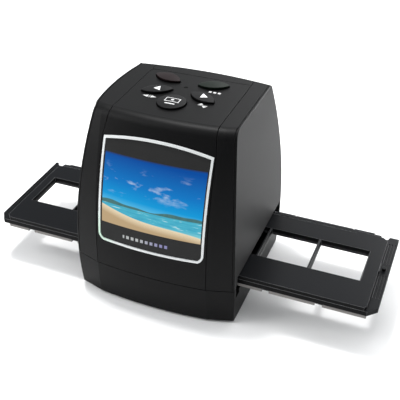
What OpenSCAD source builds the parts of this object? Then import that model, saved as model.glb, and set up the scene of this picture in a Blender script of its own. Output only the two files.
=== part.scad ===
// Film negative scanner: an upright body with a leaning front and a colour display,
// five keys on a flat top, and a long hinged film holder that slides right through it.
// X runs to the right, Y to the rear and Z up. The origin is on the table under the middle.

/* [Body] */
// Height of the flat top above the table
body_h = 102.5; // [101:0.5:104]
// Wall thickness of the case pieces
skin = 2.2; // [2:0.1:2.5]
// Furthest reach of the middle of the front
front_y = 50.4; // [50:0.1:51.5]
// Radius of the backward lean of the front
front_r = 165; // [160:1:175]
// Radius of the front seen from above
front_plan_r = 244.4; // [238:0.2:255]
// Half width where the front breaks into the cheeks
knee_x = 30.4; // [30:0.1:31]
// Angle of the cheeks behind the front
cheek_a = 16.6; // [15.5:0.1:17.5]
// Radius where the front bends into the top
bend_r = 7; // [6:0.5:8]
// Half width at the widest place of the side walls
wall_x = 43.8; // [43.6:0.1:45]
// Radius of the barrel curve of the side walls
wall_r = 500; // [480:5:560]
// Furthest reach of the middle of the rear
rear_y = 37.5; // [37.3:0.1:38.5]
// Radius of the forward lean of the rear
rear_r = 220; // [210:1:230]
// Gap that shows between case pieces
seam = 0.3; // [0.2:0.05:0.4]
// Height of the parting line between base and front
split_z = 22.2; // [22:0.1:22.5]

/* [Screen] */
// Width of the bright trim round the display
trim_w = 1.2; // [1:0.1:1.5]
// Height by which the trim stands proud
trim_proud = 0.35; // [0.2:0.05:0.5]
// Depth of the pocket for trim and window
trim_pocket = 1.2; // [1.1:0.05:1.3]
// Half width of the trim at its upper corners
trim_x = 28.6; // [28.2:0.1:28.7]
// Distance of the upper corners of the trim below the top
trim_drop = 11.5; // [10.5:0.5:12.5]
// Height of the lower edge of the trim
trim_low = 38.4; // [37.8:0.1:39]
// Radius of the lower corners of the trim
trim_r = 5; // [4:0.5:6]

/* [Keys] */
// Length of the four leaf-shaped keys
leaf_len = 16; // [15.5:0.1:16.4]
// Width of the four leaf-shaped keys
leaf_w = 7.6; // [7.2:0.1:8]
// Radius of the round scan key
scan_r = 7.2; // [6.8:0.1:7.4]
// Height by which the keys stand proud
key_proud = 1.4; // [1.1:0.05:1.6]
// Clearance between a key and its aperture
key_gap = 0.35; // [0.25:0.05:0.45]

/* [Film holder] */
// Number of windows in a row
frames = 7; // [5:1:7]
// Length of one frame window
frame_l = 25.2; // [25:0.1:25.4]
// Width of the bar between two frame windows
frame_gap = 1.9; // [1.8:0.1:2.1]
// Width of one frame window
frame_w = 24; // [23.5:0.1:24.2]
// Where the middle of the strip rests beside the lens
holder_x = 6; // [4:0.5:8]
// Thickness of the lid of the holder
lid_t = 2.25; // [2:0.05:2.3]
// Radius of the hinge pins
pin_r = 0.6; // [0.55:0.01:0.62]
// Radial play of the lid on the hinge pins
pin_play = 0.06; // [0.04:0.01:0.09]
// Width of the notches that mark each frame
notch_w = 3.6; // [3:0.1:4]

/* [Sockets] */
// Radius of the bore of the picture jack
jack_bore_r = 1.8; // [1.75:0.01:1.85]
// Depth of the bore of the picture jack
jack_depth = 13; // [12:0.5:14]
// Width of the card slot
card_w = 24.4; // [24.2:0.1:24.8]
// Height of the card slot
card_h = 2.4; // [2.2:0.1:2.5]

/* [Hidden] */
$fn = 96;
foot_h = 1.5;
lip = 0.03;
front_z = 23;
wall_z = 19;
wall_edge_r = 0.8;
shoulder_x = 39;
shoulder_y = -3;
shoulder_r = 130;
rear_z = 40;
rear_plan_r = 220;
rear_bend = 2;
// the cheeks start where the curved front has fallen back by this much at the knee
sag = front_plan_r - sqrt(pow(front_plan_r, 2) - pow(knee_x, 2));
cheek_reach = (front_y - sag) * cos(cheek_a) + knee_x * sin(cheek_a);
// seams beside the middle panel run inward from the table to the top
seam_low = 30;
seam_mid = 29.2;
seam_top = 27.3;
top_seam_y = 20;
// the middle panel has one rounded corner, at the rear of its left edge
corner_r = 3;
rear_split_y = 28.5;
corner_wrap = 3.8;
// holder slot in the side walls
slot_low = 18.9;
slot_high = 28.3;
slot_front = 40.3;
slot_rear = 31;
// bulge of the upper and lower edge of the trim
trim_top = body_h - trim_drop;
arch_sag = 3.1;
bow_sag = 0.6;
// lens axis, film plane and holder levels
lens_y = -6;
tray_low = 20;
tray_mid = 22.3;
film_bed = 23.8;
tray_top = 25;
tray_front = -37.2;
tray_rear = 24.8;
lid_low = tray_top + 0.05;
lid_top = lid_low + lid_t;
lid_flare = 0.6;
lid_rear = 21.9;
hinge_y = 23.1;
hinge_z = 25.3;
pin_l = 92.6;
pitch = frame_l + frame_gap;
row = (frames - 1) * pitch / 2;
tray_l = holder_x - row - 23.2;
tray_r = holder_x + row + 25.2;
// the notches sit a little to the left of the middle of each frame
click_x = -3;
lid_l = tray_l + 5.5;
lid_r = tray_r - 5.2;
strip_w = 35.2;
// top panel
key_x = -2.3;
lamp_y = 5.8;
flange = 1.2;
flange_t = 1.2;
key_travel = 0.8;
panel_under = body_h - skin;
flange_top = panel_under - 0.3;
key_foot = flange_top - flange_t - 0.3;
switch_top = key_foot - 0.9;
switch_h = 3;
board_t = 1.6;
key_board_top = switch_top - switch_h - 0.6;
leaf_r = (pow(leaf_len / 2, 2) + pow(leaf_w / 2, 2)) / leaf_w;
boss_spots = [[-24.9, 7.5], [19.1, 7.5], [-16.5, -14.8], [10.7, -14.8]];
// display tilt follows the chord of the lean behind the picture
lcd_tilt = 15.4;
lcd_z = (trim_low + trim_top) / 2 + 1.3;
lcd_y = 11.55 - front_y + (skin - 2.2);
lcd_t = 3.2;
lcd_w = 2 * trim_x - 0.4;
lcd_h = trim_top - trim_low - 11;
// opening for the picture inside the pocket of the window
view_x = trim_x - 2;
view_low = trim_low + 8.2;
view_high = trim_top - 5.4;
board_gap = 6;
main_w = lcd_w + 0.2;
main_h = lcd_h + 12.4;
post_x = main_w / 2 - 4.5;
post_z = main_h / 2 - 2.5;
post_spots = [[-post_x, -post_z], [post_x, -post_z], [-post_x, post_z], [post_x, post_z]];
// case screws
front_post = [20, -42.4];
rear_post = [34.5, 27.8];
post_r = 2.3;
screw_r = 1.25;
// guides
guide_x = 32;
guide_low = 17.7;
guide_top = tray_low - 0.3;
cover_low = lid_top + 0.6;
cover_top = cover_low + 2.1;
// light path: cone over the film, neck round the lens, shelf and sensor above it
cone_low_r = 23.2;
cone_top_r = 12;
cone_h = 31.5;
neck_low = cover_top + cone_h + 1.4;
shelf_z = neck_low + 5.1;
sensor_z = shelf_z + 8;
sensor_post = [13.5, 10.5];
barrel_r = 6.3;
barrel_low = neck_low - 5.9;
barrel_top = neck_low + 10.1;
rail_front = tray_front - 0.5;
rail_rear = tray_rear + 0.5;
// rear sockets
io_z = 44.1;
jack_end = rear_y - 1.9;

// ---- form of the case ----

// side view of one leaning face: a long arc that bends over into the flat top
module lean_profile(reach, arc_r, arc_z, bend, inset) {
  ac = reach - arc_r;
  cz = body_h - bend;
  cd = ac + sqrt(pow(arc_r - bend, 2) - pow(cz - arc_z, 2));
  rr = bend - inset;
  ux = (cd - ac) / (arc_r - bend);
  uz = (cz - arc_z) / (arc_r - bend);
  difference() {
    intersection() {
      translate([ac, arc_z]) circle(r = arc_r - inset);
      translate([reach - 100, -8]) square([200, body_h + 16]);
    }
    if (rr > 0.3) polygon([[cd, cz], [cd, cz + 40], [cd + 60, cz + 40], [cd + 60 * ux, cz + 60 * uz]]);
  }
  if (rr > 0.3) translate([cd, cz]) circle(r = rr + lip);
}

// each face of the form, moved inward by inset
module slab(inset) {
  translate([-60, -70, foot_h + inset]) cube([120, 130, body_h - foot_h - 2 * inset]);
}

module front_round(inset) {
  translate([0, front_plan_r - front_y, 0])
    rotate_extrude()
      translate([front_plan_r - front_y, 0]) lean_profile(front_y, front_r, front_z, bend_r, inset);
}

module rear_round(inset) {
  translate([0, rear_y - rear_plan_r, 0])
    rotate_extrude()
      translate([rear_plan_r - rear_y, 0]) lean_profile(rear_y, rear_r, rear_z, rear_bend, inset);
}

module cheek(inset) {
  rotate([0, 0, cheek_a - 90])
    rotate([90, 0, 0])
      linear_extrude(height = 300, center = true)
        lean_profile(cheek_reach, front_r / cos(cheek_a), front_z, bend_r, inset);
}

module right_wall(inset) {
  rotate([90, 0, 0])
    linear_extrude(height = 200, center = true)
      lean_profile(wall_x, wall_r, wall_z, wall_edge_r, inset);
}

// the left wall has a shoulder that swells a little in the middle of its upper edge
module left_wall(inset) {
  mirror([1, 0, 0]) right_wall(inset);
  translate([shoulder_r - shoulder_x, shoulder_y, -10]) cylinder(r = shoulder_r - inset, h = body_h + 30, $fn = 240);
}

module side_wall(side, inset) {
  if (side > 0) right_wall(inset);
  if (side < 0) left_wall(inset);
}

module both() {
  children();
  mirror([1, 0, 0]) children();
}

module core(inset) {
  intersection() {
    slab(inset);
    front_round(inset);
    rear_round(inset);
    cheek(inset);
    mirror([1, 0, 0]) cheek(inset);
  }
}

module walls(inset) {
  intersection() {
    slab(inset);
    right_wall(inset);
    left_wall(inset);
  }
}

module case_skin() {
  difference() {
    intersection() {
      core(0);
      walls(0);
    }
    intersection() {
      core(skin);
      walls(skin);
    }
  }
}

// ---- regions that share the skin between the case pieces ----

// everything below the parting line, which drops at the holder slot
module below(front_top, slot_top) {
  rotate([90, 0, 90])
    linear_extrude(height = 120, center = true)
      polygon([[-75, -5], [-75, front_top], [-slot_front, front_top], [-slot_front, slot_top],
               [slot_rear, slot_top], [slot_rear, front_top], [70, front_top], [70, -5]]);
}

module middle_region(grow) {
  intersection() {
    rotate([90, 0, 0])
      translate([0, 0, -top_seam_y - grow])
        linear_extrude(height = 120)
          polygon([[-seam_low - grow, split_z + seam - 2 * grow], [-seam_mid - grow, trim_top],
                   [-seam_top - grow, body_h + 1], [seam_top + grow, body_h + 1],
                   [seam_mid + grow, trim_top], [seam_low + grow, split_z + seam - 2 * grow]]);
    linear_extrude(height = 120) {
      translate([corner_r - seam_top, top_seam_y - corner_r]) circle(r = corner_r + grow);
      translate([corner_r - seam_top, -80]) square([80, top_seam_y + 80 + grow]);
      translate([-60, -80]) square([100, top_seam_y + 80 - corner_r]);
    }
  }
}

module rear_region(grow) {
  translate([-seam_top - grow, top_seam_y + seam - grow, split_z + seam - 2 * grow])
    cube([2 * (seam_top + grow), 40, body_h]);
  intersection() {
    translate([-60, rear_split_y - grow, split_z + seam - 2 * grow]) cube([120, 40, body_h]);
    right_wall(corner_wrap - grow);
    left_wall(corner_wrap - grow);
  }
}

// ---- case pieces ----

module side_shell(side) {
  half = side > 0 ? 20 : -80;
  difference() {
    intersection() {
      case_skin();
      translate([half, -70, 10]) cube([60, 130, 110]);
    }
    below(split_z + seam, slot_high);
    middle_region(seam);
    rear_region(seam);
    // score line just inside the edge between cheek and side wall
    difference() {
      intersection() {
        side_wall(side, 0.9);
        translate([half, -70, split_z - 2]) cube([60, top_seam_y + 75, 100]);
      }
      side_wall(side, 1.25);
      core(0.5);
    }
    // seat of the front of the film holder
    translate([side * 48 - 10, -42, 16.4]) cube([20, 5, 7.6]);
  }
  // post for a case screw with its rib to the wall
  difference() {
    union() {
      translate([side * rear_post[0], rear_post[1], 8.2]) cylinder(r = post_r, h = 40);
      translate([side * (rear_post[0] + 4) - 4, rear_post[1] - 0.6, slot_high + seam]) cube([8, 1.2, 48 - slot_high]);
    }
    translate([side * rear_post[0], rear_post[1], 7]) cylinder(r = screw_r + 0.05, h = 14);
  }
}

module right_shell() {
  color("#2b2b2d") side_shell(1);
}

module left_shell() {
  color("#2b2b2d") side_shell(-1);
}

module screen_outline(grow) {
  arch = (pow(trim_x, 2) + pow(arch_sag, 2)) / (2 * arch_sag);
  bow = (pow(trim_x, 2) + pow(bow_sag, 2)) / (2 * bow_sag);
  intersection() {
    translate([0, trim_top + arch_sag - arch]) circle(r = arch + grow);
    translate([0, trim_low - bow_sag + bow]) circle(r = bow + grow);
    union() {
      translate([-trim_x - grow, trim_low + trim_r - 0.6]) square([2 * (trim_x + grow), 70]);
      translate([trim_r - trim_x, trim_low - 15]) square([2 * (trim_x - trim_r), 70]);
      for (side = [-1, 1]) {
        translate([side * (trim_x - trim_r), trim_low + trim_r - 0.6]) circle(r = trim_r + grow);
      }
    }
  }
}

module screen_prism(grow) {
  rotate([90, 0, 0]) translate([0, 0, 22]) linear_extrude(height = 40) screen_outline(grow);
}

// places things on the tilted plane of the display
module on_display() {
  translate([0, lcd_y, lcd_z]) rotate([-lcd_tilt, 0, 0]) children();
}

module center_panel() {
  color("#2a2a2c") difference() {
    union() {
      intersection() {
        case_skin();
        middle_region(0);
      }
      // four posts that carry the main board
      on_display() for (p = post_spots) {
        translate([p[0], -0.9, p[1]]) rotate([-90, 0, 0]) cylinder(r = 2, h = board_gap + 0.9);
      }
      // four posts that carry the key board
      for (p = boss_spots) {
        translate([p[0], p[1], key_board_top]) cylinder(r = 2, h = panel_under - key_board_top + 0.5);
      }
      // front posts for the case screws, each on a rib
      for (side = [-1, 1]) {
        translate([side * front_post[0], front_post[1], 8.2]) cylinder(r = post_r, h = 24);
        translate([side * front_post[0] - 0.6, -front_y + skin / 2 + 1.4, 24]) cube([1.2, 5, 8.2]);
      }
    }
    // pocket for trim and window, with the opening for the picture inside it
    difference() {
      screen_prism(0);
      front_round(trim_pocket);
    }
    translate([-view_x, -60, view_low]) cube([2 * view_x, 40, view_high - view_low]);
    // apertures of the keys and the lamp
    translate([0, 0, panel_under - 1]) linear_extrude(height = 5) key_outlines(key_gap);
    translate([key_x, lamp_y, panel_under - 1]) cylinder(r = 1.1, h = 5);
    // bores for the screws
    on_display() for (p = post_spots) {
      translate([p[0], 0.4, p[1]]) rotate([-90, 0, 0]) cylinder(r = 0.95, h = 8);
    }
    for (p = boss_spots) {
      translate([p[0], p[1], key_board_top - 1]) cylinder(r = 0.95, h = 5.5);
    }
    for (side = [-1, 1]) {
      translate([side * front_post[0], front_post[1], 7]) cylinder(r = screw_r + 0.05, h = 14);
    }
  }
}

module rear_cover() {
  color("#2a2a2c") difference() {
    union() {
      intersection() {
        case_skin();
        rear_region(0);
      }
      // ledges under the socket board
      for (side = [-1, 1]) {
        translate([side * 26 - 1.5, 17, io_z - 2.1]) cube([3, rear_y - 19.5, 2]);
      }
      // tongue under the rear edge of the middle panel
      translate([key_x - 5, top_seam_y - 4.5, panel_under - 1.5]) cube([10, 6.8, 1.3]);
      translate([key_x - 5, top_seam_y + 0.6, panel_under - 1]) cube([10, 1.7, 1.2]);
    }
    // openings for the sockets
    translate([-25.4, rear_y - 8, io_z + 1.6]) cube([8.8, 20, 4.9]);
    translate([-card_w / 2 - 0.4, rear_y - 8, io_z + 1.8]) cube([card_w + 0.8, 20, card_h + 0.8]);
    translate([21, rear_y - 8, io_z + board_t + 3.2]) rotate([-90, 0, 0]) cylinder(r = 3.3, h = 20);
  }
}

module case_screw_spots() {
  for (side = [-1, 1]) {
    translate([side * front_post[0], front_post[1], 0]) children();
    translate([side * rear_post[0], rear_post[1], 0]) children();
  }
}

module foot_spots() {
  for (side = [-1, 1]) {
    translate([side * 31, -30, 0]) children();
    translate([side * 33, 18, 0]) children();
  }
}

module base() {
  color("#262628") difference() {
    union() {
      intersection() {
        case_skin();
        below(split_z, slot_low);
      }
      intersection() {
        case_screw_spots() translate([0, 0, 2]) cylinder(r = 3.6, h = 6);
        front_round(0.6);
        rear_round(0.6);
      }
      for (side = [-1, 1], end = [-1, 1]) {
        translate([side * 18, lens_y + end * 11, 2.5]) cylinder(r = 1.5, h = 3.5);
      }
    }
    // counterbores of the case screws
    case_screw_spots() translate([0, 0, 0]) cylinder(r = 2.9, h = 5.5);
    case_screw_spots() translate([0, 0, 1]) cylinder(r = 1.45, h = 10);
    foot_spots() translate([0, 0, 0]) cylinder(r = 5.1, h = foot_h + 0.8);
    // seat of the front of the film holder
    both() translate([38, -42, 16.4]) cube([20, 5, 7.6]);
  }
}

module feet() {
  color("#1b1b1c") foot_spots() difference() {
    cylinder(r = 5, h = foot_h + 0.8);
    translate([0, 0, -0.1]) cylinder(r = 3, h = 0.5);
  }
}

module base_screws() {
  color("#8f9296") case_screw_spots() difference() {
    union() {
      translate([0, 0, 3.7]) cylinder(r = 2.5, h = 1.8);
      translate([0, 0, 4]) cylinder(r = screw_r, h = 14);
    }
    translate([-1.8, -0.35, 3.5]) cube([3.6, 0.7, 1]);
    translate([-0.35, -1.8, 3.5]) cube([0.7, 3.6, 1]);
  }
}

// ---- display ----

module screen_trim() {
  color("#d9dcdc") difference() {
    intersection() {
      front_round(-trim_proud);
      screen_prism(-0.1);
    }
    front_round(trim_pocket - 0.1);
    screen_prism(-trim_w);
  }
}

module screen_window() {
  color("#0b0c0e") intersection() {
    difference() {
      front_round(0.1);
      front_round(trim_pocket - 0.1);
    }
    screen_prism(-trim_w - 0.1);
  }
}

module lcd_module() {
  color("#9aa0a6") on_display() {
    difference() {
      translate([-lcd_w / 2, 0, -lcd_h / 2]) cube([lcd_w, lcd_t, lcd_h]);
      translate([2.4 - lcd_w / 2, -1, 2.2 - lcd_h / 2]) cube([lcd_w - 4.8, 1.4, lcd_h - 4.2]);
    }
    // flat cable that runs from the lower edge toward the main board
    translate([-9, 1.4, -lcd_h / 2 - 1.8]) cube([18, 0.3, 2.2]);
    translate([-9, 1.4, -lcd_h / 2 - 1.8]) cube([18, 4.3, 0.3]);
  }
}

module main_board() {
  color("#1f5c3a") on_display() difference() {
    translate([-main_w / 2, board_gap, -main_h / 2]) cube([main_w, board_t, main_h]);
    for (p = post_spots) {
      translate([p[0], board_gap - 1, p[1]]) rotate([-90, 0, 0]) cylinder(r = 1.15, h = 4);
    }
  }
}

// parts on the back of the main board and on the socket board
module board_parts() {
  back = board_gap + board_t;
  color("#222426") {
    on_display() {
      translate([-8, back, -6]) cube([15, 1.4, 15]);
      translate([12, back, 0]) cube([9, 1.1, 11]);
      translate([-22, back, -2]) cube([8, 1.1, 12]);
      translate([10, back, -14]) cube([7, 1, 7]);
      for (k = [0:1:4]) {
        translate([-20 + k * 3, back, -14]) cube([1.4, 0.8, 2.4]);
      }
      translate([-10, back, 18]) cube([20, 1.8, 4]);
      translate([23, back + 2, -8]) rotate([90, 0, 0]) cylinder(r = 2, h = 2);
    }
    translate([-8, 21, io_z - 1.2]) cube([10, 8, 1.2]);
    translate([9, 23, io_z - 1]) cube([5, 4, 1]);
  }
}

module board_screws() {
  color("#8f9296") {
    on_display() for (p = post_spots) {
      translate([p[0], 1, p[1]]) rotate([-90, 0, 0]) cylinder(r = 0.9, h = board_gap + board_t - 0.8);
      translate([p[0], board_gap + board_t, p[1]]) rotate([-90, 0, 0]) cylinder(r = 1.9, h = 1.1);
    }
    for (p = boss_spots) {
      translate([p[0], p[1], key_board_top - board_t - 0.2]) cylinder(r = 0.9, h = board_t + 4);
      translate([p[0], p[1], key_board_top - board_t - 1.1]) cylinder(r = 1.9, h = 1.1);
    }
  }
}

// ---- keys ----

module leaf(grow) {
  intersection() {
    translate([0, leaf_w / 2 - leaf_r]) circle(r = leaf_r + grow);
    translate([0, leaf_r - leaf_w / 2]) circle(r = leaf_r + grow);
  }
}

module power_spot() {
  translate([key_x - 12.6, 12.3]) rotate(-15.8) children();
}

module menu_spot() {
  translate([key_x + 12.6, 12.3]) rotate(15.8) children();
}

module left_spot() {
  translate([key_x - 12.2, -2.2]) rotate(24.5) children();
}

module right_spot() {
  translate([key_x + 12.2, -2.2]) rotate(-24.5) children();
}

module scan_spot() {
  translate([key_x, -12]) children();
}

module key_outlines(grow) {
  power_spot() leaf(grow);
  menu_spot() leaf(grow);
  left_spot() leaf(grow);
  right_spot() leaf(grow);
  scan_spot() circle(r = scan_r + grow);
}

// a key: a slightly domed cap on a flange that is caught under the panel
module key_cap(dome) {
  intersection() {
    translate([0, 0, flange_top - flange_t]) linear_extrude(height = 10) children(0);
    translate([0, 0, body_h + key_proud - dome]) sphere(r = dome);
  }
  translate([0, 0, flange_top - flange_t]) linear_extrude(height = flange_t) children(1);
  translate([0, 0, key_foot]) cylinder(r = 1.5, h = 1);
}

module power_button() {
  color("#3a2225") power_spot() key_cap(60) {
    leaf(0);
    leaf(flange);
  }
}

module menu_button() {
  color("#1f3325") menu_spot() key_cap(60) {
    leaf(0);
    leaf(flange);
  }
}

module left_button() {
  color("#242426") left_spot() key_cap(60) {
    leaf(0);
    leaf(flange);
  }
}

module right_button() {
  color("#242426") right_spot() key_cap(60) {
    leaf(0);
    leaf(flange);
  }
}

module scan_button() {
  color("#242426") scan_spot() key_cap(60) {
    circle(r = scan_r);
    circle(r = scan_r + flange);
  }
}

module indicator_lens() {
  color("#0f3a1a") translate([key_x, lamp_y, 0]) {
    translate([0, 0, key_board_top + 1.3]) cylinder(r = 1, h = body_h - 0.2 - key_board_top - 1.3);
    translate([0, 0, panel_under - 1.2]) cylinder(r = 1.8, h = 1.1);
  }
}

module key_board() {
  color("#1f5c3a") difference() {
    translate([-28, -18.5, key_board_top - board_t]) cube([50.4, 38, board_t]);
    for (p = boss_spots) {
      translate([p[0], p[1], key_board_top - 3]) cylinder(r = 1.15, h = 5);
    }
  }
}

module tact_switch() {
  translate([-3, -3, key_board_top]) cube([6, 6, switch_h]);
  translate([0, 0, key_board_top]) cylinder(r = 1.7, h = switch_top - key_board_top);
}

module key_switches() {
  color("#3c3f42") {
    power_spot() tact_switch();
    menu_spot() tact_switch();
    left_spot() tact_switch();
    right_spot() tact_switch();
    scan_spot() tact_switch();
    // lamp under the light guide
    translate([key_x - 0.8, lamp_y - 0.8, key_board_top]) cube([1.6, 1.6, 1]);
  }
}

// ---- optics ----

module sensor_corners() {
  for (sx = [-1, 1], sy = [-1, 1]) {
    translate([sx * sensor_post[0], sy * sensor_post[1], 0]) children();
  }
}

module optical_chimney() {
  color("#19191a") translate([0, lens_y, 0]) difference() {
    union() {
      translate([0, 0, cover_top + 1.5]) cylinder(r1 = cone_low_r, r2 = cone_top_r, h = cone_h);
      translate([0, 0, cover_top]) cylinder(r = 25, h = 1.6);
      translate([0, 0, neck_low]) cylinder(r = 9, h = 7);
      translate([-16, -13, shelf_z]) cube([32, 26, 2]);
      sensor_corners() translate([0, 0, shelf_z + 1]) cylinder(r = 2, h = sensor_z - shelf_z - 1);
    }
    translate([0, 0, cover_top - 0.5]) cylinder(r1 = cone_low_r - 0.9, r2 = cone_top_r - 1.5, h = cone_h + 1.6);
    translate([0, 0, 50]) cylinder(r = barrel_r + 0.3, h = 30);
  }
}

module lens_barrel() {
  color("#2e3033") translate([0, lens_y, 0]) rotate_extrude()
    polygon([[2, barrel_low + 1], [5, barrel_low], [barrel_r, barrel_low], [barrel_r, barrel_top - 2],
             [8, barrel_top - 2], [8, barrel_top], [4, barrel_top], [4, barrel_top - 7], [2, barrel_top - 9]]);
}

module sensor_board() {
  color("#1f5c3a") translate([0, lens_y, 0]) {
    difference() {
      translate([-17, -14, sensor_z]) cube([34, 28, board_t]);
      sensor_corners() translate([0, 0, sensor_z - 1]) cylinder(r = 0.8, h = 4);
    }
    // picture sensor faces down on the lens axis
    translate([-4.5, -4.5, sensor_z - 1.6]) cube([9, 9, 1.7]);
    translate([-7, 9, sensor_z + board_t - 0.1]) cube([14, 3.4, 1.8]);
  }
}

module lower_film_guide() {
  color("#202022") difference() {
    union() {
      translate([-guide_x, rail_front - 2, guide_low]) cube([2 * guide_x, rail_rear - rail_front + 4, 2]);
      for (y = [rail_front - 2, rail_rear]) {
        translate([-guide_x, y, guide_low]) cube([2 * guide_x, 2, cover_low - guide_low]);
      }
      // light box below the film window
      translate([-25, lens_y - 17, 4.7]) cube([50, 34, guide_low - 4.2]);
      for (sx = [-1, 1], y = [-33, 20]) {
        translate([sx * 28.5, y, foot_h + skin]) cylinder(r = 2.2, h = guide_low - foot_h - skin + 0.5);
      }
    }
    translate([-23.5, lens_y - 15.5, 3]) cube([47, 31, guide_low - 3]);
    translate([-frame_l / 2 - 0.4, lens_y - frame_w / 2 - 0.4, 10]) cube([frame_l + 0.8, frame_w + 0.8, 20]);
    // room for the click springs in both rails
    translate([click_x - 8.5, rail_front - 2.5, guide_low + 2.3]) cube([17, 3, 4]);
    translate([click_x - 8.5, rail_rear - 0.5, guide_low + 2.3]) cube([17, 3, 4]);
  }
}

module upper_film_guide() {
  color("#202022") difference() {
    translate([-guide_x, rail_front - 2, cover_low])
      cube([2 * guide_x, rail_rear - rail_front + 4, cover_top - cover_low]);
    translate([-frame_l / 2 - 0.8, lens_y - frame_w / 2 - 0.8, 20]) cube([frame_l + 1.6, frame_w + 1.6, 20]);
  }
}

module diffuser() {
  color("#f4f5f2") translate([-23.3, lens_y - 15.3, guide_low - 2]) cube([46.6, 30.6, 1.95]);
}

module backlight_board() {
  color("#e8e8e2") {
    translate([-23.2, lens_y - 15.2, 6]) cube([46.4, 30.4, board_t]);
    for (i = [-1:1:1], j = [-1:1:1]) {
      translate([i * 13 - 1.75, lens_y + j * 9 - 1.75, 6 + board_t]) cube([3.5, 3.5, 0.9]);
    }
  }
}

// leaf springs whose tips look at the notched edges of the tray
module click_springs() {
  color("#b9bcc0") {
    click_spring(rail_front - 1.6, 1);
    click_spring(rail_rear + 1.6, -1);
  }
}

module click_spring(y, side) {
  translate([click_x, y, guide_low + 2.6]) {
    translate([-8.2, -0.2, 0]) cube([16.4, 0.4, 2.2]);
    translate([0, side * 0.6, 0]) cylinder(r = 1.2, h = 2.2);
  }
}

// ---- rear sockets ----

module io_board() {
  color("#1f5c3a") translate([-30, 15, io_z]) cube([60, 17.6, board_t]);
}

module usb_socket() {
  color("#c3c6ca") translate([-21, 0, io_z + board_t]) difference() {
    translate([-3.9, 26, 0]) cube([7.8, 9.4, 4]);
    translate([-3.4, 27, 0.5]) cube([6.8, 12, 3]);
    translate([-3.9, 25, -1]) cube([1.1, 12, 1.9]);
    translate([2.8, 25, -1]) cube([1.1, 12, 1.9]);
  }
  color("#c3c6ca") translate([-22.8, 26.5, io_z + board_t + 1.7]) cube([3.6, 7.6, 0.7]);
}

module card_socket() {
  color("#b9bcc0") translate([0, 0, io_z + board_t]) difference() {
    translate([-card_w / 2 - 0.9, 16.5, 0]) cube([card_w + 1.8, 18.2, card_h + 1]);
    translate([-card_w / 2, 18, 0.6]) cube([card_w, 30, card_h - 0.3]);
  }
}

module av_socket() {
  color("#161617") translate([21, 0, io_z + board_t + 3.2]) difference() {
    union() {
      translate([-3.4, 21.4, -3.2]) cube([6.8, 11.6, 6.2]);
      translate([0, 30, 0]) rotate([-90, 0, 0]) cylinder(r = 3, h = jack_end - 30);
    }
    translate([0, jack_end - jack_depth, 0]) rotate([-90, 0, 0]) cylinder(r = jack_bore_r, h = jack_depth + 2);
  }
}

// ---- film holder ----

function frame_x(i) = holder_x - row + i * pitch;

// a window that opens out from a size at z0 to a larger size at z1
module flared(length, width, flare, z0, z1) {
  intersection() {
    rotate([90, 0, 0]) linear_extrude(height = 80, center = true)
      polygon([[-length / 2, z0], [length / 2, z0], [length / 2 + flare, z1], [-length / 2 - flare, z1]]);
    rotate([90, 0, 90]) linear_extrude(height = 80, center = true)
      polygon([[-width / 2, z0], [width / 2, z0], [width / 2 + flare, z1], [-width / 2 - flare, z1]]);
  }
}

// places of the knuckles of the lid, with the knuckles of the tray between them
function lid_knuckle(i) = holder_x - 66 + i * 44;
function tray_knuckle(i) = holder_x - 88 + i * 44;

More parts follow.
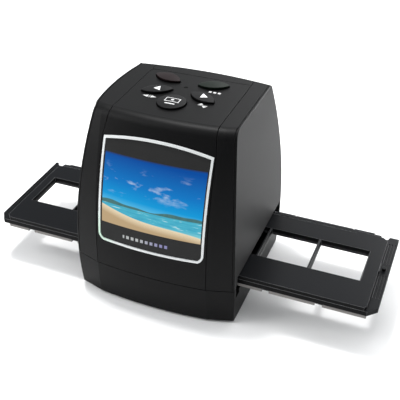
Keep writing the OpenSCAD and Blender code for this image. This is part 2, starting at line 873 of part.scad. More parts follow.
module holder_tray() {
  mid_x = (tray_l + tray_r) / 2;
  length = tray_r - tray_l;
  cut = 4.6;
  color("#1d1e20") difference() {
    union() {
      translate([0, 0, tray_mid]) linear_extrude(height = tray_top - tray_mid)
        polygon([[tray_l, tray_front + cut], [tray_l + cut * 0.7, tray_front], [tray_r - cut, tray_front],
                 [tray_r, tray_front + cut], [tray_r, tray_rear], [tray_l, tray_rear]]);
      // running rails
      translate([tray_l + 6, tray_front + 0.7, tray_low]) cube([length - 10.8, 6, 2.4]);
      translate([tray_l + 6, tray_rear - 6.7, tray_low]) cube([length - 10.8, 6, 2.4]);
      // hinge knuckles
      for (i = [0:1:4]) {
        translate([tray_knuckle(i) - 5.5, hinge_y, hinge_z]) rotate([0, 90, 0]) cylinder(r = 1.3, h = 11);
      }
      // raised peg that the lid snaps past
      translate([tray_r - 3, lens_y + 2.5, tray_top - 0.5]) cylinder(r = 1.1, h = 2.1);
    }
    for (i = [0:1:frames - 1]) {
      translate([frame_x(i), lens_y, 0]) {
        translate([-frame_l / 2, -frame_w / 2, 15]) cube([frame_l, frame_w, 15]);
      }
      // notches that mark the frames in both rails
      for (y = [tray_front, tray_rear - 2.2]) {
        translate([frame_x(i) + click_x - notch_w / 2, y, 15]) cube([notch_w, 2.2, tray_mid - 15]);
      }
    }
    // the plate is thinner from below all round the frames
    translate([frame_x(0) - frame_l / 2 - 2.5, lens_y - frame_w / 2 - 2.5, 15])
      cube([2 * row + frame_l + 5, frame_w + 5, film_bed - 15]);
    // channel for the film strip
    translate([frame_x(0) - frame_l / 2 - 6, lens_y - strip_w / 2, tray_top - 0.4])
      cube([2 * row + frame_l + 12, strip_w, 3]);
    // room for the knuckles of the lid
    for (i = [0:1:3]) {
      translate([lid_knuckle(i) - 16.3, hinge_y - 1.7, hinge_z - 1.5]) cube([32.6, 6, 5]);
    }
    // bore for the hinge pins
    translate([tray_knuckle(0) - 8, hinge_y, hinge_z]) rotate([0, 90, 0]) cylinder(r = pin_r, h = 192);
    // notches in the rear edge
    for (x = [tray_r - 7.2, tray_l + 3.9]) {
      translate([x, 0, 15]) linear_extrude(height = 15)
        polygon([[-2.6, tray_rear + 1], [-1.6, tray_rear - 2.4], [1.6, tray_rear - 2.4], [2.6, tray_rear + 1]]);
    }
    // grip ribs on both ends
    for (k = [0:1:2]) {
      translate([tray_r - 4.4 + k * 1.5, -26, tray_top - 0.35]) cube([0.6, 18, 2]);
      translate([tray_r - 4.4 + k * 1.5, 2, tray_top - 0.35]) cube([0.6, 17, 2]);
      translate([tray_l + 0.8 + k * 1.5, -26, tray_top - 0.35]) cube([0.6, 44, 2]);
    }
  }
}

module holder_lid() {
  cut = 5;
  color("#202124") difference() {
    union() {
      translate([0, 0, lid_low]) linear_extrude(height = lid_t)
        polygon([[lid_l, tray_front + 2], [lid_l + 2, tray_front], [lid_r - 1, tray_front],
                 [lid_r, tray_front + 1.4], [lid_r, lid_rear - 4], [lid_r - 2.5, lid_rear - 1.6],
                 [lid_r - 18, lid_rear], [lid_l + 5, lid_rear], [lid_l, lid_rear - 5]]);
      for (i = [0:1:3]) {
        translate([lid_knuckle(i) - 16, hinge_y, hinge_z]) rotate([0, 90, 0]) cylinder(r = 1.2, h = 32);
        translate([lid_knuckle(i) - 16, hinge_y - 2.5, lid_low]) cube([32, 2.5, 1.2]);
      }
      // catch that holds the lid to the peg of the tray
      translate([lid_r - 1, lens_y - 1, lid_low]) cube([1.4, 7, 1.4]);
    }
    // room for the knuckles of the tray
    for (i = [0:1:4]) {
      translate([tray_knuckle(i) - 5.8, hinge_y - 1.6, hinge_z - 3]) cube([11.6, 5, 6]);
    }
    for (i = [0:1:frames - 1]) {
      translate([frame_x(i), lens_y, 0]) {
        translate([-frame_l / 2, -frame_w / 2, 20]) cube([frame_l, frame_w, 15]);
        flared(frame_l, frame_w, lid_flare, lid_low + 0.7, lid_top + 0.05);
      }
    }
    translate([lid_knuckle(0) - 20, hinge_y, hinge_z])
      rotate([0, 90, 0]) cylinder(r = pin_r + pin_play, h = 180);
    // shallow step along the rear edge
    translate([lid_l - 1, lid_rear - 2.4, lid_top - 0.5]) cube([lid_r - lid_l - 16, 0.5, 2]);
  }
}

module hinge_pins() {
  color("#b9bcc0") for (side = [-1, 1]) {
    translate([holder_x + (side > 0 ? 0.2 : -0.2 - pin_l), hinge_y, hinge_z])
      rotate([0, 90, 0]) cylinder(r = pin_r, h = pin_l);
  }
}

center_panel();
left_shell();
right_shell();
rear_cover();
base();
feet();
base_screws();
screen_trim();
screen_window();
lcd_module();
power_button();
menu_button();
left_button();
right_button();
scan_button();
key_board();
key_switches();
indicator_lens();
main_board();
board_parts();
board_screws();
sensor_board();
lens_barrel();
optical_chimney();
upper_film_guide();
lower_film_guide();
diffuser();
backlight_board();
click_springs();
io_board();
usb_socket();
card_socket();
av_socket();
holder_tray();
holder_lid();
hinge_pins();
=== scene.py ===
import math

import bpy
from mathutils import Matrix, Vector


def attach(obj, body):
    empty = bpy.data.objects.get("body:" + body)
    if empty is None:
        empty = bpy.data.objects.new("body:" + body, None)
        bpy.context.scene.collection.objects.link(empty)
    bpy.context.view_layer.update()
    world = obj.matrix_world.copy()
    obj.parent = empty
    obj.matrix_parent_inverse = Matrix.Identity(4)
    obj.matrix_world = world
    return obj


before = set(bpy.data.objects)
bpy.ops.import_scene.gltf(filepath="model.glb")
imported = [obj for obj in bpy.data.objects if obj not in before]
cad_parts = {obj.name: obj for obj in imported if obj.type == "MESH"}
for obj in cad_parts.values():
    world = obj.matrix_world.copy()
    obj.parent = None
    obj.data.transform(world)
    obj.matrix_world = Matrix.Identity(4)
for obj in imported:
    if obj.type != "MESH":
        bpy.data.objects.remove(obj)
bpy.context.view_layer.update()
print("frame loaded:", len(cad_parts), "nodes")


# wraps one output socket, so that shader maths reads as plain expressions
class Signal:
    def __init__(self, tree, socket):
        self.tree = tree
        self.socket = socket

    def math(self, operation, *others):
        node = self.tree.nodes.new("ShaderNodeMath")
        node.operation = operation
        for index, value in enumerate((self,) + others):
            if isinstance(value, Signal):
                self.tree.links.new(value.socket, node.inputs[index])
            else:
                node.inputs[index].default_value = value
        return Signal(self.tree, node.outputs[0])

    def __add__(self, other):
        return self.math("ADD", other)

    def __radd__(self, other):
        return self.math("ADD", other)

    def __sub__(self, other):
        return self.math("SUBTRACT", other)

    def __rsub__(self, other):
        return (self * -1) + other

    def __mul__(self, other):
        return self.math("MULTIPLY", other)

    def __rmul__(self, other):
        return self.math("MULTIPLY", other)

    def __truediv__(self, other):
        return self.math("DIVIDE", other)

    def abs(self):
        return self.math("ABSOLUTE")

    def most(self, other):
        return self.math("MAXIMUM", other)

    def least(self, other):
        return self.math("MINIMUM", other)

    def clamp(self):
        return self.most(0.0).least(1.0)

    # 1 where the value is below zero, with a soft edge
    def inside(self, soft=0.12):
        return (0.5 - self / soft).clamp()


# one material and the nodes that make it
class Finish:
    def __init__(self, name):
        self.material = bpy.data.materials.new(name)
        self.material.use_nodes = True
        self.tree = self.material.node_tree
        self.shader = self.tree.nodes["Principled BSDF"]
        self.place = None

    # any other node: its type, its settings first, then its socket values or links
    def add(self, kind, settings=None, output=0, **values):
        node = self.tree.nodes.new(kind)
        for key, value in (settings or {}).items():
            if key == "stops":
                ramp = node.color_ramp
                while len(ramp.elements) < len(value):
                    ramp.elements.new(0.5)
                for element, (position, color) in zip(ramp.elements, value):
                    element.position = position
                    element.color = (*color, 1)
            else:
                setattr(node, key, value)
        for key, value in values.items():
            socket = node.inputs[int(key[1:]) if key[1:].isdigit() else key.replace("_", " ")]
            if isinstance(value, Signal):
                self.tree.links.new(value.socket, socket)
            else:
                socket.default_value = value
        return Signal(self.tree, node.outputs[output])

    def point(self):
        if self.place is None:
            self.place = self.add("ShaderNodeTexCoord", output=3)
        return self.place

    def split(self, vector):
        node = self.tree.nodes.new("ShaderNodeSeparateXYZ")
        self.tree.links.new(vector.socket, node.inputs[0])
        return [Signal(self.tree, output) for output in node.outputs]

    # coordinates in millimetres
    def axes(self):
        return [part * 1000.0 for part in self.split(self.point())]

    def noise(self, grain, detail=2.0, rough=0.5, stretch=(1, 1, 1)):
        spot = self.add("ShaderNodeMapping", Vector=self.point(), Scale=stretch)
        return self.add("ShaderNodeTexNoise", Vector=spot, Scale=1 / grain, Detail=detail, Roughness=rough)

    def cells(self, size, feature="F1"):
        return self.add("ShaderNodeTexVoronoi", {"feature": feature}, Vector=self.point(), Scale=1 / size)

    def blend(self, amount, first, second):
        return self.add("ShaderNodeMix", {"data_type": "RGBA"}, output=2,
                        i0=amount, i6=first if isinstance(first, Signal) else (*first, 1),
                        i7=second if isinstance(second, Signal) else (*second, 1))

    def feed(self, name, value):
        socket = self.shader.inputs[name]
        if isinstance(value, Signal):
            self.tree.links.new(value.socket, socket)
        elif isinstance(value, tuple):
            socket.default_value = (*value, 1)
        else:
            socket.default_value = value

    # 1 on faces that look along an axis, either way, more squarely than the share given
    def facing(self, axis, share, crisp=12):
        normal = self.add("ShaderNodeNewGeometry", output=3)
        return ((self.split(normal)[axis].abs() - share) * crisp + 0.5).clamp()

    # 1 along the edges of a piece, where moulded corners catch the light
    def rims(self, radius, gain=8):
        soft = self.add("ShaderNodeBevel", {"samples": 6}, Radius=radius)
        flat = self.add("ShaderNodeNewGeometry", output=1)
        agree = self.add("ShaderNodeVectorMath", {"operation": "DOT_PRODUCT"}, output=1, i0=soft, i1=flat)
        return ((1 - agree) * gain).clamp()

    def relief(self, height, strength, distance, edge=0.0):
        bump = self.tree.nodes.new("ShaderNodeBump")
        bump.inputs["Strength"].default_value = strength
        bump.inputs["Distance"].default_value = distance
        self.tree.links.new(height.socket, bump.inputs["Height"])
        if edge:
            soft = self.add("ShaderNodeBevel", {"samples": 6}, Radius=edge)
            self.tree.links.new(soft.socket, bump.inputs["Normal"])
        self.tree.links.new(bump.outputs[0], self.shader.inputs["Normal"])


def cover(node, finish):
    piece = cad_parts[node]
    piece.data.materials.clear()
    piece.data.materials.append(finish.material)


def scaled(color, share):
    return tuple(c * share for c in color)


# distances to a box, a disc and a triangle in a plane, for printed marks, in millimetres
def boxAt(x, y, spot, half):
    return ((x - spot[0]).abs() - half[0]).most((y - spot[1]).abs() - half[1])


def discAt(x, y, spot, radius):
    dx = x - spot[0]
    dy = y - spot[1]
    return (dx * dx + dy * dy).math("SQRT") - radius


# a triangle with the middle of its base at the spot, which points along an angle in degrees
def arrowAt(x, y, spot, size, angle):
    reach, half = size
    c, s = math.cos(math.radians(angle)), math.sin(math.radians(angle))
    dx = x - spot[0]
    dy = y - spot[1]
    u = dx * c + dy * s
    v = dy * c - dx * s
    slope = (u / reach + v.abs() / half - 1) * (reach * half / math.hypot(reach, half))
    return slope.most(u * -1)


plastic = {
    "color": (0.0030, 0.0030, 0.0032),
    "base": (0.0026, 0.0026, 0.0028),
    # a lighter colour for faces that look sideways: painted light
    "wall": (0.026, 0.026, 0.0263),
    "wallDulling": 0.12,
    "roughness": 0.42,
    "grain": 0.00045,
    "depth": 0.00004,
    "edge": 0.0003,
    "specular": 0.1,
    "ink": (0.8, 0.8, 0.8),
    # a darker colour for key flanks below the key top: painted shade
    "shadedFlank": (0.001, 0.001, 0.001),
}


# moulded plastic with a fine spark-eroded grain and slightly uneven gloss; faces below
# the given height are darkened with painted shade, and faces that look sideways take a lighter colour,
# painted light
def mouldedPlastic(name, color, roughness, grain, depth,
                   marks=None, ink=plastic["ink"], shadedFlank=None, wall=None):
    f = Finish(name)
    cloud = f.noise(0.035, 3.0)
    pores = f.noise(grain, 2.0, 0.6)
    shade = f.blend(cloud, scaled(color, 0.86), scaled(color, 1.16))
    speck = f.noise(grain * 0.6, 1.0)
    shade = f.blend((speck - 0.62).clamp() * 0.8, shade, scaled(color, 3))
    # painted shade: faces below the given height are darkened
    if shadedFlank:
        height = f.axes()[2]
        shade = f.blend(((shadedFlank - height) * 5).clamp() * 0.8, shade, plastic["shadedFlank"])
    gloss = roughness - 0.05 + cloud * 0.06 + pores * 0.05
    # painted light: faces that look sideways take a lighter colour and are duller
    if wall:
        side = f.facing(0, 0.9)
        shade = f.blend(side, shade, wall)
        gloss = gloss + side * plastic["wallDulling"]
    grainHeight = pores
    if marks:
        printed = marks(f)
        shade = f.blend(printed, shade, ink)
        gloss = gloss + printed * 0.12
        grainHeight = pores * (1 - printed * 0.7)
    f.feed("Base Color", shade)
    f.feed("Roughness", gloss)
    f.feed("Specular IOR Level", plastic["specular"])
    f.relief(grainHeight, 0.35, depth, plastic["edge"])
    return f


# plain signs on the panel and on the keys: places, half sizes and arrow sizes in millimetres
signs = {
    "panelTop": 102.2,
    "keyTop": 103.2,
    "panelInk": 0.75,
    "scanInk": 0.7,
    "squares": {"at": (13.2, 6.0), "pitch": 2.4, "half": 0.72, "reach": 3.5},
    "mirrored": {"at": (-15.5, -9.2), "apart": 0.8, "bar": (0.16, 1.25), "arrow": (2.9, 1.15)},
    "turned": {"at": (12.6, -8.9), "apart": (1.1, 0.5), "bar": (2.5, 0.16), "arrow": (1.5, 1.3)},
    "picture": {"at": (-2.2, -11.0), "outer": (3.8, 2.0), "inner": (3.35, 1.55), "dot": 0.8},
    "underline": {"at": (-2.2, -14.9), "half": (2.6, 0.42)},
    "left": {"at": (-13.1, -1.7), "arrow": (3.3, 2.2), "angle": 198},
    "right": {"at": (10.9, -3.1), "arrow": (4.2, 1.9), "angle": 113},
}


# keeps a sign to the surface above a height
def printedAbove(shape, z, top):
    return shape.inside() * ((z - top) * 40).clamp()


def squaresSign(x, y):
    sign = signs["squares"]
    step = ((x - sign["at"][0]) / sign["pitch"] + 0.5).math("FRACT") - 0.5
    row = boxAt(x, y, sign["at"], (sign["reach"], sign["half"]))
    return (step.abs() * sign["pitch"] - sign["half"]).most(row)


def mirroredSign(x, y):
    sign = signs["mirrored"]
    shape = boxAt(x, y, sign["at"], sign["bar"])
    for side, angle in ((-1, 180), (1, 0)):
        spot = (sign["at"][0] + side * sign["apart"], sign["at"][1])
        shape = shape.least(arrowAt(x, y, spot, sign["arrow"], angle))
    return shape


def turnedSign(x, y):
    sign = signs["turned"]
    shape = boxAt(x, y, sign["at"], sign["bar"])
    for side, angle in ((-1, 90), (1, 270)):
        spot = (sign["at"][0] + side * sign["apart"][0], sign["at"][1] - side * sign["apart"][1])
        shape = shape.least(arrowAt(x, y, spot, sign["arrow"], angle))
    return shape


# three squares, a mirrored pair and a turned pair beside the keys
def panelMarks(f):
    x, y, z = f.axes()
    shape = squaresSign(x, y).least(mirroredSign(x, y)).least(turnedSign(x, y))
    return printedAbove(shape, z, signs["panelTop"]) * signs["panelInk"]


# a framed dot with a line below it
def scanMarks(f):
    x, y, z = f.axes()
    sign = signs["picture"]
    ring = boxAt(x, y, sign["at"], sign["outer"]).most(boxAt(x, y, sign["at"], sign["inner"]) * -1)
    dot = discAt(x, y, sign["at"], sign["dot"])
    line = boxAt(x, y, signs["underline"]["at"], signs["underline"]["half"])
    return printedAbove(ring.least(dot).least(line), z, signs["keyTop"]) * signs["scanInk"]


def arrowMarks(name):
    sign = signs[name]

    def marks(f):
        x, y, z = f.axes()
        return printedAbove(arrowAt(x, y, sign["at"], sign["arrow"], sign["angle"]), z, signs["keyTop"])

    return marks


def fitCase():
    p = plastic
    top = mouldedPlastic("panelPlastic", p["color"], p["roughness"], p["grain"], p["depth"], marks=panelMarks)
    # the shells' faces that look sideways take a lighter colour, painted light
    side = mouldedPlastic("sidePlastic", p["color"], p["roughness"], p["grain"], p["depth"], wall=p["wall"])
    low = mouldedPlastic("basePlastic", p["base"], p["roughness"], p["grain"], p["depth"])
    cover("center_panel", top)
    for node in ("left_shell", "right_shell", "rear_cover"):
        cover(node, side)
    cover("base", low)


keys = {
    "roughness": 0.36,
    "grain": 0.0005,
    "depth": 0.00002,
    "ink": (0.85, 0.85, 0.85),
    "caps": {
        "power_button": ((0.0095, 0.0045, 0.0050), None),
        "menu_button": ((0.0042, 0.0080, 0.0050), None),
        "left_button": ((0.0050, 0.0050, 0.0053), arrowMarks("left")),
        "right_button": ((0.0050, 0.0050, 0.0053), arrowMarks("right")),
        "scan_button": ((0.0050, 0.0050, 0.0053), scanMarks),
    },
}


def fitKeys():
    for node, (color, marks) in keys["caps"].items():
        # faces below the key top are darkened with painted shade
        cover(node, mouldedPlastic(node + "Plastic", color, keys["roughness"], keys["grain"], keys["depth"],
                                   marks=marks, ink=keys["ink"], shadedFlank=signs["keyTop"]))


# in millimetres: where the grips begin, and the rails' top and front; knurl in radians a millimetre
holder = {
    "color": (0.0034, 0.0040, 0.0052),
    # a darker colour for faces that don't look up: painted shade
    "side": (0.0015, 0.0015, 0.0015),
    # a pale colour along the edges: painted highlight
    "edgeHighlight": (0.22, 0.225, 0.23),
    # a greyer colour for the rails' front below: painted light
    "railLight": (0.22, 0.21, 0.20),
    "roughness": 0.4,
    "specular": 0.08,
    "rightGrip": 108.0,
    "leftGrip": -94.4,
    "knurl": 3.2,
    "railTop": 22.4,
    "railFront": -36.0,
}


# dull black holder with a knurled grip at both ends; its pale edges are painted highlights, its grips and the
# faces that don't look up are darkened with painted shade, and its greyer rails below are painted light
def fitHolder():
    for node, gripped in (("holder_tray", True), ("holder_lid", False)):
        f = Finish(node + "Plastic")
        cloud = f.noise(0.02, 3.0)
        pores = f.noise(0.0004, 2.0)
        shade = f.blend(cloud, scaled(holder["color"], 0.85), scaled(holder["color"], 1.2))
        height = pores * 0.5
        # painted highlight: a pale colour along the edges
        edgeGlints = f.rims(0.0003) * 0.8
        x, y, z = f.axes()
        if gripped:
            ends = ((x - holder["rightGrip"]) * 4).clamp() + ((holder["leftGrip"] - x) * 4).clamp()
            knurl = ((x + y) * holder["knurl"]).math("SINE") * ((x - y) * holder["knurl"]).math("SINE")
            height = height + (knurl * ends).clamp()
            # painted shade: the grips are darkened
            shade = f.blend(ends * 0.5, shade, scaled(holder["color"], 0.6))
            edgeGlints = edgeGlints * (1 - ends * 0.85)
        # painted shade: faces that don't look up are darkened
        shadedSides = (1 - f.facing(2, 0.7)) * 0.8
        shade = f.blend(shadedSides, shade, holder["side"])
        if gripped:
            # painted light: the rails' front below is painted greyer
            litRails = ((holder["railTop"] - z) * 6).clamp() * ((holder["railFront"] - y) * 6).clamp()
            shade = f.blend(litRails, shade, holder["railLight"])
        shade = f.blend(edgeGlints, shade, holder["edgeHighlight"])
        f.feed("Base Color", shade)
        f.feed("Roughness", holder["roughness"] - 0.04 + cloud * 0.08)
        f.feed("Specular IOR Level", holder["specular"])
        f.relief(height, 0.3, 0.00008, 0.00035)
        cover(node, f)


# the lit picture, in millimetres
screen = {"left": -26.6, "right": 26.6, "low": 49.0, "high": 84.3, "glow": 1.0}

# colours, and heights as shares of the picture's height
seaside = {
    "sky": [(0.32, (0.10, 0.52, 0.80)), (0.44, (0.0, 0.31, 0.68)),
            (0.66, (0.0, 0.18, 0.54)), (1.0, (0.0, 0.07, 0.34))],
    "cloud": (0.85, 0.93, 0.98),
    "sea": ((0.005, 0.22, 0.42), (0.12, 0.62, 0.72)),
    "shallows": (0.35, 0.78, 0.78),
    "foam": (0.88, 0.96, 0.96),
    "hills": ((0.03, 0.12, 0.14), (0.09, 0.22, 0.20)),
    "sand": ((0.74, 0.58, 0.36), (0.96, 0.86, 0.64)),
    "wetSand": (0.50, 0.36, 0.20),
    "cloudLow": 0.42,
    "cloudHigh": 0.9,
    "shallowsTop": 0.16,
    "seaTop": 0.30,
    "hillTop": 0.335,
    "duneTop": 0.27,
    "duneFall": 0.22,
}


def skyOver(f, u, v):
    sky = f.add("ShaderNodeValToRGB", {"stops": seaside["sky"]}, Fac=v + u * 0.06)
    puffs = f.noise(0.011, 5.0, 0.55, (0.8, 1, 2.2))
    band = ((v - seaside["cloudLow"]) * 6).clamp() * ((seaside["cloudHigh"] - v) * 6).clamp()
    return f.blend(((puffs - 0.56) * 5).clamp() * band * 0.8, sky, seaside["cloud"])


def seaBelow(f, v):
    ripples = f.noise(0.0022, 3.0, 0.6, (0.25, 1, 2.5))
    sea = f.blend(ripples, *seaside["sea"])
    sea = f.blend(((seaside["shallowsTop"] - v) * 8).clamp(), sea, seaside["shallows"])
    return f.blend(((ripples - 0.60) * 9).clamp() * 0.7, sea, seaside["foam"])


# a seaside picture: sky with clouds, hills, a strip of sea and a dune that falls to the right
def screenPicture(f, x, z):
    u = (x - screen["left"]) / (screen["right"] - screen["left"])
    v = (z - screen["low"]) / (screen["high"] - screen["low"])
    hills = v - seaside["hillTop"] - (u * 9.0 + 0.6).math("SINE") * 0.018 - (u * 21.0).math("SINE") * 0.008
    land = f.blend(f.noise(0.002, 3.0), *seaside["hills"])
    color = f.blend((hills * 90).clamp(), land, skyOver(f, u, v))
    color = f.blend(((v - seaside["seaTop"]) * 140).clamp(), seaBelow(f, v), color)
    sand = f.blend(f.noise(0.0006, 4.0, 0.7), *seaside["sand"])
    ridge = v - seaside["duneTop"] + u * seaside["duneFall"] + (u * 5.0).math("SINE") * 0.03
    sand = f.blend(((ridge + 0.10) * 9).clamp(), seaside["wetSand"], sand)
    return f.blend((ridge * 120).clamp(), sand, color)


glass = {
    "ink": ((0.022, 0.022, 0.022), (0.028, 0.028, 0.028)),
    "behind": (0.004, 0.004, 0.005),
    "roughness": 0.07,
    "specular": 0.06,
    "ticks": {"at": (-2.0, 43.6), "reach": (12.4, 0.85), "pitch": 2.6, "half": 0.75},
    "tickColors": ((0.42, 0.43, 0.43), (0.24, 0.23, 0.42)),
}


# dark glass; the lit picture shows in its upper part and small ticks below it
def fitWindow():
    f = Finish("windowGlass")
    x, y, z = f.axes()
    middle = (screen["low"] + screen["high"]) / 2
    half = (screen["right"], (screen["high"] - screen["low"]) / 2)
    picture = boxAt(x, z, (0.0, middle), half).inside(0.15)
    picture = picture * ((screen["high"] - z) * 0.8 + 0.25).clamp()
    mark = glass["ticks"]
    step = (x / mark["pitch"]).math("FRACT") - 0.5
    row = boxAt(x, z, mark["at"], mark["reach"])
    ticks = (step.abs() * mark["pitch"] - mark["half"]).most(row).inside(0.15)
    dust = f.noise(0.012, 3.0)
    ink = f.blend(dust, *glass["ink"])
    along = ((x - mark["at"][0]) * 0.08 + 0.3).clamp()
    ink = f.blend(ticks, ink, f.blend(along, *glass["tickColors"]))
    f.feed("Base Color", f.blend(picture, ink, glass["behind"]))
    f.feed("Emission Color", f.blend(picture, (0, 0, 0), screenPicture(f, x, z)))
    f.feed("Emission Strength", screen["glow"])
    f.feed("Roughness", glass["roughness"] + dust * 0.03)
    f.feed("Specular IOR Level", glass["specular"])
    cover("screen_window", f)


trim = {
    "silver": ((0.64, 0.66, 0.66), (0.70, 0.72, 0.72)),
    "tint": (0.42, 0.74, 0.50),
    "tintRight": -18.0,
    "tintTop": 56.0,
    "metallic": 0.15,
    "roughness": 0.30,
}


# satin trim with a faint green tint at its lower left
def fitTrim():
    f = Finish("trimSatin")
    streak = f.noise(0.0006, 2.0, 0.5, (0.2, 1, 1))
    x, y, z = f.axes()
    tint = ((trim["tintRight"] - x) * 0.1).clamp() * ((trim["tintTop"] - z) * 0.08).clamp()
    f.feed("Base Color", f.blend(tint * 0.6, f.blend(streak, *trim["silver"]), trim["tint"]))
    f.feed("Metallic", trim["metallic"])
    f.feed("Roughness", trim["roughness"] + streak * 0.04)
    f.relief(streak, 0.01, 0.000001)
    cover("screen_trim", f)


display = {
    "frame": ((0.45, 0.46, 0.48), (0.58, 0.59, 0.60)),
    "area": (0.03, 0.05, 0.09),
    "middle": (0.0, 66.0),
    "half": (26.0, 18.2),
}


def fitDisplay():
    f = Finish("displayFrame")
    x, y, z = f.axes()
    area = boxAt(x, z, display["middle"], display["half"]).inside(0.2)
    worn = f.noise(0.004, 3.0)
    f.feed("Base Color", f.blend(area, f.blend(worn, *display["frame"]), display["area"]))
    f.feed("Metallic", (1 - area) * 0.9)
    f.feed("Roughness", 0.32 - area * 0.2 + worn * 0.05)
    f.relief(worn, 0.1, 0.00002)
    cover("lcd_module", f)


board = {
    "mask": ((0.006, 0.085, 0.035), (0.010, 0.120, 0.050)),
    "track": (0.030, 0.210, 0.085),
    "via": (0.62, 0.55, 0.35),
    "trackPitch": 0.0032,
    "viaPitch": 0.0026,
}


# green solder mask with fine copper tracks and vias
def fitBoards():
    f = Finish("circuitBoard")
    tracks = ((0.09 - f.cells(board["trackPitch"], "DISTANCE_TO_EDGE")) * 14).clamp()
    vias = ((0.22 - f.cells(board["viaPitch"])) * 14).clamp()
    cloud = f.noise(0.02, 2.0)
    mask = f.blend(tracks * 0.7, f.blend(cloud, *board["mask"]), board["track"])
    f.feed("Base Color", f.blend(vias, mask, board["via"]))
    f.feed("Metallic", vias * 0.9)
    f.feed("Roughness", 0.34 - vias * 0.08 + cloud * 0.05)
    f.relief(tracks + vias, 0.3, 0.00004)
    for node in ("main_board", "key_board", "sensor_board", "io_board"):
        cover(node, f)


# the chips stand in a grid about the lens axis; lengths in millimetres
lightBoard = {
    "board": ((0.76, 0.76, 0.73), (0.84, 0.84, 0.81)),
    "chip": (0.92, 0.80, 0.22),
    "pitch": (13.0, 9.0),
    "axisY": -6.0,
    "half": 1.2,
}


def gridStep(along, middle, pitch):
    return (((along - middle) / pitch + 0.5).math("FRACT") - 0.5).abs() * pitch


def fitLightBoard():
    f = Finish("lightBoard")
    x, y, z = f.axes()
    column = gridStep(x, 0.0, lightBoard["pitch"][0])
    row = gridStep(y, lightBoard["axisY"], lightBoard["pitch"][1])
    chip = (column - lightBoard["half"]).most(row - lightBoard["half"]).inside(0.2)
    faint = f.noise(0.01, 2.0)
    f.feed("Base Color", f.blend(chip, f.blend(faint, *lightBoard["board"]), lightBoard["chip"]))
    f.feed("Roughness", 0.4 + faint * 0.1 - chip * 0.15)
    f.relief(faint, 0.1, 0.00002)
    cover("backlight_board", f)


def fitChips():
    f = Finish("chipPlastic")
    fine = f.noise(0.0005, 2.0)
    f.feed("Base Color", f.blend(fine, (0.018, 0.018, 0.020), (0.034, 0.034, 0.036)))
    f.feed("Roughness", 0.5 + fine * 0.12)
    f.relief(fine, 0.25, 0.00002, 0.0002)
    cover("board_parts", f)


switches = {"can": ((0.42, 0.43, 0.44), (0.52, 0.53, 0.54)), "stem": (0.05, 0.05, 0.055), "stemLow": 94.2}


# metal cans with a dark stem above them
def fitSwitches():
    f = Finish("switchPlastic")
    stem = ((f.axes()[2] - switches["stemLow"]) * 8).clamp()
    fine = f.noise(0.0006, 2.0)
    f.feed("Base Color", f.blend(stem, f.blend(fine, *switches["can"]), switches["stem"]))
    f.feed("Metallic", (1 - stem) * 0.8)
    f.feed("Roughness", 0.36 + fine * 0.1)
    f.relief(fine, 0.1, 0.00002, 0.0002)
    cover("key_switches", f)


metals = {
    "base_screws": ((0.50, 0.51, 0.53), 0.34),
    "board_screws": ((0.50, 0.51, 0.53), 0.32),
    "click_springs": ((0.60, 0.60, 0.61), 0.24),
    "usb_socket": ((0.66, 0.67, 0.68), 0.28),
    "card_socket": ((0.62, 0.63, 0.64), 0.30),
    "hinge_pins": ((0.62, 0.62, 0.63), 0.22),
}


def fitMetals():
    for node, (color, roughness) in metals.items():
        f = Finish(node + "Metal")
        brushed = f.noise(0.0004, 3.0, 0.6, (0.15, 1, 1))
        stain = f.noise(0.006, 3.0)
        shade = f.blend(brushed, scaled(color, 0.85), color)
        f.feed("Base Color", f.blend((stain - 0.6).clamp() * 1.5, shade, (0.30, 0.28, 0.25)))
        f.feed("Metallic", 1.0)
        f.feed("Roughness", roughness + brushed * 0.08 + stain * 0.06)
        f.relief(brushed, 0.2, 0.00001, 0.0002)
        cover(node, f)


# colour, roughness, grain, depth and nodes of the chimney's, guides' and jack's plastics
otherPlastics = {
    "dullBlack": ((0.010, 0.010, 0.0105), 0.62, 0.0006, 0.00005, ("optical_chimney",)),
    "guidePlastic": ((0.014, 0.014, 0.015), 0.4, 0.0005, 0.00002, ("upper_film_guide", "lower_film_guide")),
    "jackPlastic": ((0.012, 0.012, 0.012), 0.3, 0.0006, 0.00001, ("av_socket",)),
}


def fitOtherPlastics():
    for name, (color, roughness, grain, depth, nodes) in otherPlastics.items():
        f = mouldedPlastic(name, color, roughness, grain, depth)
        for node in nodes:
            cover(node, f)


# turned rings run round the barrel, 16 radians for each millimetre of height
def fitBarrel():
    f = Finish("barrelAnodised")
    turned = (f.axes()[2] * 16.0).math("SINE") * 0.5 + 0.5
    fine = f.noise(0.0006, 2.0)
    f.feed("Base Color", f.blend(turned, (0.030, 0.030, 0.032), (0.055, 0.055, 0.058)))
    f.feed("Metallic", 0.8)
    f.feed("Roughness", 0.3 + fine * 0.1)
    f.relief(turned, 0.3, 0.00008, 0.0002)
    cover("lens_barrel", f)


def fitDiffuser():
    f = Finish("opalSheet")
    milk = f.noise(0.004, 3.0)
    f.feed("Base Color", f.blend(milk, (0.82, 0.83, 0.80), (0.90, 0.91, 0.89)))
    f.feed("Roughness", 0.42 + milk * 0.1)
    f.feed("Subsurface Weight", 0.3)
    f.feed("Emission Color", f.blend(milk, (0.80, 0.84, 0.82), (0.92, 0.96, 0.94)))
    f.feed("Emission Strength", 0.35)
    f.relief(milk, 0.1, 0.00002)
    cover("diffuser", f)


def fitFeet():
    f = Finish("footRubber")
    fine = f.noise(0.0005, 3.0)
    scuff = f.noise(0.003, 4.0, 0.7)
    f.feed("Base Color", f.blend(scuff, (0.013, 0.013, 0.013), (0.032, 0.031, 0.030)))
    f.feed("Roughness", 0.72 + scuff * 0.15)
    f.relief(fine, 0.4, 0.00005, 0.0003)
    cover("feet", f)


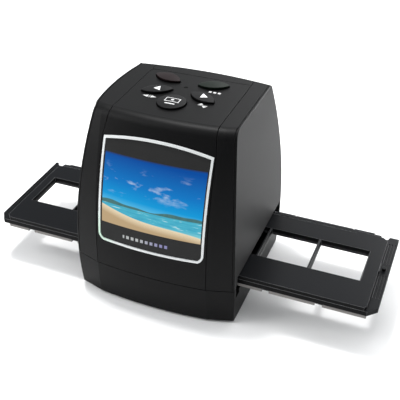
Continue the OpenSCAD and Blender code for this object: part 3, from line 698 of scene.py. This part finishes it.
def fitLampGuide():
    f = Finish("lampGuide")
    faint = f.noise(0.001, 2.0)
    f.feed("Base Color", f.blend(faint, (0.002, 0.002, 0.002), (0.004, 0.005, 0.004)))
    f.feed("Roughness", 0.5 + faint * 0.05)
    f.feed("Specular IOR Level", 0.1)
    f.relief(faint, 0.05, 0.00001)
    cover("indicator_lens", f)


fitCase()
fitKeys()
fitHolder()
fitWindow()
fitTrim()
fitDisplay()
fitBoards()
fitLightBoard()
fitChips()
fitSwitches()
fitMetals()
fitOtherPlastics()
fitBarrel()
fitDiffuser()
fitFeet()
fitLampGuide()
print("finishes on all nodes")


# a thin lip lies under the seam on each side of the top and follows the bend into the front,
# so that no light passes through the seam
lips = {
    "inner": 0.0262,
    "outer": 0.0302,
    "rear": 0.0245,
    "front": -0.0240,
    "top": 0.1002,
    "thick": 0.0007,
    "bendHeight": 0.0955,
    "bendAngle": 72,
    "bendSteps": 8,
}


def addLip(name, side):
    bpy.ops.object.select_all(action="DESELECT")
    middle = (
        side * (lips["inner"] + lips["outer"]) / 2,
        (lips["front"] + lips["rear"]) / 2,
        lips["top"] - lips["thick"] / 2,
    )
    bpy.ops.mesh.primitive_cube_add(size=1, location=middle)
    lip = bpy.context.object
    lip.name = name
    lip.scale = (lips["outer"] - lips["inner"], lips["rear"] - lips["front"], lips["thick"])
    bpy.ops.object.transform_apply(location=True, rotation=True, scale=True)
    bpy.ops.object.mode_set(mode="EDIT")
    bpy.ops.mesh.select_mode(type="FACE")
    bpy.ops.mesh.select_all(action="DESELECT")
    bpy.ops.object.mode_set(mode="OBJECT")
    for face in lip.data.polygons:
        face.select = face.normal.y < -0.9
    bpy.ops.object.mode_set(mode="EDIT")
    bpy.ops.mesh.spin(steps=lips["bendSteps"], angle=math.radians(lips["bendAngle"]),
                      center=(0, lips["front"], lips["bendHeight"]), axis=(-1, 0, 0))
    bpy.ops.mesh.select_all(action="SELECT")
    bpy.ops.mesh.remove_doubles(threshold=0.000001)
    bpy.ops.mesh.normals_make_consistent(inside=False)
    bpy.ops.object.mode_set(mode="OBJECT")
    lip.data.materials.append(bpy.data.materials["sidePlastic"])
    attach(lip, "body")


addLip("rightSeamLip", 1)
addLip("leftSeamLip", -1)
print("seam lips ready")


# the floor starts to glow at glowStart millimetres from the middle, in full glowRise further out
studio = {
    "size": 40.0,
    "floor": (0.90, 0.90, 0.90),
    "glow": (0.45, 0.45, 0.45),
    "glowStart": 600,
    "glowRise": 900,
    "skyColor": (0.96, 0.98, 1.0),
    "sky": 0.80,
    "gloom": 0.11,
    "horizon": 0.14,
}


def addFloor():
    bpy.ops.object.select_all(action="DESELECT")
    bpy.ops.mesh.primitive_plane_add(size=studio["size"], location=(0, 0, 0))
    floor = bpy.context.object
    floor.name = "studioFloor"
    f = Finish("floorPaper")
    tooth = f.noise(0.002, 3.0)
    f.feed("Base Color", f.blend(tooth, scaled(studio["floor"], 0.99), studio["floor"]))
    x, y, z = f.axes()
    reach = (x * x + y * y).math("SQRT")
    glow = ((reach - studio["glowStart"]) / studio["glowRise"]).clamp()
    f.feed("Emission Color", f.blend(glow, (0, 0, 0), studio["glow"]))
    f.feed("Emission Strength", 1.0)
    f.feed("Roughness", 0.9)
    f.feed("Specular IOR Level", 0.1)
    floor.data.materials.append(f.material)


# a soft sky, dimmer in front of the object than beside, behind and above it, with a bright horizon
def addSky():
    world = bpy.data.worlds.new("studioSky")
    bpy.context.scene.world = world
    world.use_nodes = True
    tree = world.node_tree
    where = tree.nodes.new("ShaderNodeTexCoord")
    split = tree.nodes.new("ShaderNodeSeparateXYZ")
    tree.links.new(where.outputs[0], split.inputs[0])
    x, y, z = (Signal(tree, output) for output in split.outputs)
    rise = (y + z * 0.6 + x.abs() * 0.6 + 0.5).clamp()
    level = rise * (studio["sky"] - studio["gloom"]) + studio["gloom"]
    level = level.most(((studio["horizon"] - z.abs()) * 25).clamp())
    ground = tree.nodes["Background"]
    ground.inputs["Color"].default_value = (*studio["skyColor"], 1)
    tree.links.new(level.socket, ground.inputs["Strength"])


def setView():
    bpy.context.scene.view_settings.view_transform = "Standard"


lamps = {
    "roof": {"spot": (0.05, 0.10, 0.85), "aim": (0.02, 0.05, 0), "size": (0.5, 0.4), "power": 1.6},
    "bend": {"spot": (-0.19, 0.11, 0.86), "aim": (0.035, -0.02, 0.10), "size": (0.12, 0.12), "power": 4.5},
    "rear": {"spot": (0.80, 0.60, 0.20), "aim": (0, 0.03, 0.05), "size": (0.5, 0.4), "power": 2.2},
    "back": {"spot": (-0.05, 0.75, 0.60), "aim": (0, 0, 0.05), "size": (0.4, 0.4), "power": 1.2},
    "left": {"spot": (-0.50, -0.35, 0.62), "aim": (0, -0.05, 0.02), "size": (0.3, 0.3), "power": 1.8},
    "fill": {"spot": (-0.35, -0.22, 0.20), "aim": (-0.05, -0.08, 0), "size": (0.2, 0.2), "power": 0.45},
    "spill": {"spot": (0.16, 0.22, 0.12), "aim": (0.07, 0.09, 0), "size": (0.10, 0.10), "power": 0.4},
}


def addLamps():
    for name, lamp in lamps.items():
        data = bpy.data.lights.new(name, "AREA")
        data.shape = "RECTANGLE"
        data.size, data.size_y = lamp["size"]
        data.energy = lamp["power"]
        light = bpy.data.objects.new(name, data)
        bpy.context.collection.objects.link(light)
        light.location = lamp["spot"]
        way = Vector(lamp["aim"]) - Vector(lamp["spot"])
        light.rotation_euler = way.to_track_quat("-Z", "Y").to_euler()


# yaw, pitch and roll in degrees; focal length and picture width in pixels; sensor in millimetres
view = {
    "spot": (0.1329, -0.309695, 0.272617),
    "turn": (-22.0366, 34.8619, -0.1516),
    "focalPixels": 751.85,
    "widthPixels": 400,
    "sensor": 36,
    "clipStart": 0.01,
}


def addCamera():
    data = bpy.data.cameras.new("mainCamera")
    data.sensor_width = view["sensor"]
    data.lens = view["focalPixels"] / view["widthPixels"] * view["sensor"]
    data.clip_start = view["clipStart"]
    camera = bpy.data.objects.new("mainCamera", data)
    bpy.context.collection.objects.link(camera)
    yaw, pitch, roll = (math.radians(angle) for angle in view["turn"])
    ahead = Vector((math.sin(yaw) * math.cos(pitch), math.cos(yaw) * math.cos(pitch), -math.sin(pitch)))
    right = Vector((math.cos(yaw), -math.sin(yaw), 0))
    up = right.cross(ahead)
    sideways = right * math.cos(roll) + up * math.sin(roll)
    upward = up * math.cos(roll) - right * math.sin(roll)
    turn = Matrix((sideways, upward, -ahead)).transposed()
    camera.matrix_world = Matrix.Translation(view["spot"]) @ turn.to_4x4()
    bpy.context.scene.camera = camera


addFloor()
addSky()
setView()
addLamps()
addCamera()
print("studio ready")
